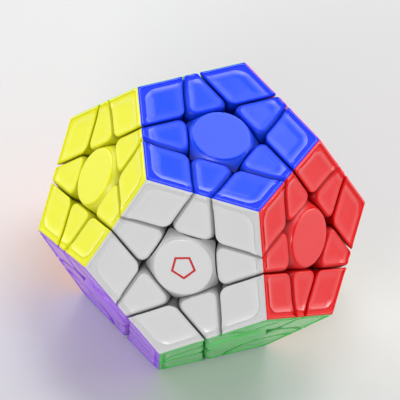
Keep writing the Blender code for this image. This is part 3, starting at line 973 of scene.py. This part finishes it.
def build_mechanism():
    """Core ball with posts, and an axle screw, washer and spring on each of the twelve axes."""
    steel = metal("spring_steel", STEEL_COLOUR, roughness=0.3)
    bpy.ops.mesh.primitive_uv_sphere_add(segments=BALL_SEGMENTS, ring_count=BALL_SEGMENTS // 2,
                                         radius=CORE_RADIUS)
    ball = bpy.context.object
    ball.name = "core_ball"
    ball.data.shade_smooth()
    ball.data.materials.append(INNER)
    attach(ball, "core_body")
    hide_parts("core_and_rear_centres")
    root = CORE_RADIUS - POST_HEIGHT / 2
    for face in NORMALS:
        lathe("post_" + face, [
            (0, POST_TOP), (STEM_RADIUS - POST_BREAK, POST_TOP),
            (STEM_RADIUS, POST_TOP - POST_BREAK), (STEM_RADIUS, root), (0, root),
        ], face, INNER)
        lathe("axle_screw_" + face, [
            (0, HEAD_TOP - SOCKET_DEPTH), (SOCKET_RADIUS, HEAD_TOP - SOCKET_DEPTH),
            (SOCKET_RADIUS, HEAD_TOP), (HEAD_RADIUS - POST_BREAK, HEAD_TOP),
            (HEAD_RADIUS, HEAD_TOP - POST_BREAK), (HEAD_RADIUS, HEAD_BOTTOM),
            (SCREW_RADIUS, HEAD_BOTTOM), (SCREW_RADIUS, POST_TOP - POST_HEIGHT),
            (0, POST_TOP - POST_HEIGHT),
        ], face, steel)
        lathe("washer_" + face, [
            (SCREW_RADIUS + TURN_PLAY / 2, HEAD_BOTTOM - SPRING_GAP),
            (HEAD_RADIUS, HEAD_BOTTOM - SPRING_GAP), (HEAD_RADIUS, WASHER_BOTTOM),
            (SCREW_RADIUS + TURN_PLAY / 2, WASHER_BOTTOM),
        ], face, steel)
        inner_piece("spring_" + face, spring_mesh("spring_" + face), face, steel)


def build_mark():
    """A plain five-sided ring on the white cap."""
    shell = Shell()
    up = np.array((0.0, 0.0, 1.0))
    corners = 2 * pi * (np.arange(5) + 0.5) / 5
    out = np.stack([np.cos(corners), np.sin(corners), 0 * corners], axis=1)
    ring = np.concatenate([
        a + (b - a) * np.linspace(0, 1, MARK_STEPS, endpoint=False)[:, None]
        for a, b in zip(out, np.roll(out, -1, axis=0))
    ])
    low, high = FACE_DISTANCE - MARK_HEIGHT, FACE_DISTANCE + MARK_HEIGHT
    section = ((MARK_RADIUS, low), (MARK_RADIUS, high),
               (MARK_RADIUS - MARK_WIDTH, high), (MARK_RADIUS - MARK_WIDTH, low),
               (MARK_RADIUS, low))
    shell.grid(np.array([ring * radius + up * height for radius, height in section]), 0)
    mesh = shell.mesh("mark_on_white_cap")
    mesh.transform(turn_to("white", "blue", third_face("white", "blue")))
    mesh.materials.append(plastic("mark_ink", MARK_COLOUR, roughness=0.35))
    piece = bpy.data.objects.new("mark_on_white_cap", mesh)
    bpy.context.scene.collection.objects.link(piece)
    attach(piece, "core_body")
    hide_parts("centre_white")


build_puzzle()
build_mechanism()
build_mark()


# Floor, light and camera.

FLOOR_SIZE = 20
FLOOR_COLOUR = (0.68, 0.68, 0.69)
FLOOR_ROUGHNESS = 0.9
WORLD_STRENGTH = 0.35
LIGHT_DISTANCE = 0.7
LIGHTS = (                   # name, direction from the puzzle, width and height, power in watts
    ("back_left", (-0.42, 0.60, 0.68), (0.24, 0.34), 0.8),
    ("back_right", (0.38, 0.58, 0.72), (0.24, 0.34), 0.9),
    ("back_low", (-0.03, 0.89, 0.46), (0.34, 0.24), 0.9),
    ("above", (-0.02, 0.20, 0.98), (0.30, 0.24), 1.2),
    ("front", (-0.25, -0.82, 0.50), (0.30, 0.20), 1.9),
    ("right", (0.86, 0.42, 0.12), (0.30, 0.20), 1.9),
    ("left", (-0.86, 0.42, 0.12), (0.30, 0.20), 1.8),
)
GLOW_PLACE = (0.022, 0.240, 0.295)    # a near, weak light that the blue face reflects
GLOW_TARGET = (0.012, 0.018, FACE_DISTANCE)
GLOW_SIZE = (0.06, 0.05)
GLOW_POWER = 0.03
VIEW_AZIMUTH = radians(2.82)
VIEW_ELEVATION = radians(50.84)
VIEW_ROLL = radians(13.84)
VIEW_WIDTH = 0.10155         # width of the picture at the puzzle
VIEW_RIGHT = -0.00042        # the picture's middle from the puzzle's, to the right and up
VIEW_UP = 0.00408
VIEW_DISTANCE = 0.6


def add_floor():
    bpy.ops.mesh.primitive_plane_add(size=FLOOR_SIZE, location=(0, 0, -FACE_DISTANCE))
    floor = bpy.context.object
    floor.name = "floor"
    material = bpy.data.materials.new("floor_paper")
    material.use_nodes = True
    shader = material.node_tree.nodes["Principled BSDF"]
    shader.inputs["Base Color"].default_value = (*FLOOR_COLOUR, 1)
    shader.inputs["Roughness"].default_value = FLOOR_ROUGHNESS
    floor.data.materials.append(material)


def area_light(name, place_at, size, power, target=(0, 0, 0)):
    data = bpy.data.lights.new(name, "AREA")
    data.shape = "RECTANGLE"
    data.size, data.size_y = size
    data.energy = power
    item = bpy.data.objects.new(name, data)
    bpy.context.scene.collection.objects.link(item)
    item.location = place_at
    away = Vector(place_at) - Vector(target)
    item.rotation_mode = "QUATERNION"
    item.rotation_quaternion = away.to_track_quat("Z", "Y")
    item.visible_camera = False


def add_camera():
    data = bpy.data.cameras.new("camera")
    data.type = "ORTHO"
    data.ortho_scale = VIEW_WIDTH
    camera = bpy.data.objects.new("camera", data)
    bpy.context.scene.collection.objects.link(camera)
    back = Vector((sin(VIEW_AZIMUTH) * cos(VIEW_ELEVATION),
                   -cos(VIEW_AZIMUTH) * cos(VIEW_ELEVATION), sin(VIEW_ELEVATION)))
    turn = back.to_track_quat("Z", "Y").to_matrix() @ Matrix.Rotation(VIEW_ROLL, 3, "Z")
    camera.matrix_world = (
        Matrix.Translation(back * VIEW_DISTANCE + turn @ Vector((VIEW_RIGHT, VIEW_UP, 0)))
        @ turn.to_4x4()
    )
    bpy.context.scene.camera = camera


def add_world():
    world = bpy.data.worlds.new("studio")
    bpy.context.scene.world = world
    world.use_nodes = True
    background = world.node_tree.nodes["Background"]
    background.inputs["Color"].default_value = (1, 1, 1, 1)
    background.inputs["Strength"].default_value = WORLD_STRENGTH


add_floor()
for name, direction, size, power in LIGHTS:
    area_light(name, Vector(direction).normalized() * LIGHT_DISTANCE, size, power)
area_light("glow", GLOW_PLACE, GLOW_SIZE, GLOW_POWER, target=GLOW_TARGET)
add_world()
add_camera()
bpy.context.scene.view_settings.view_transform = "Standard"
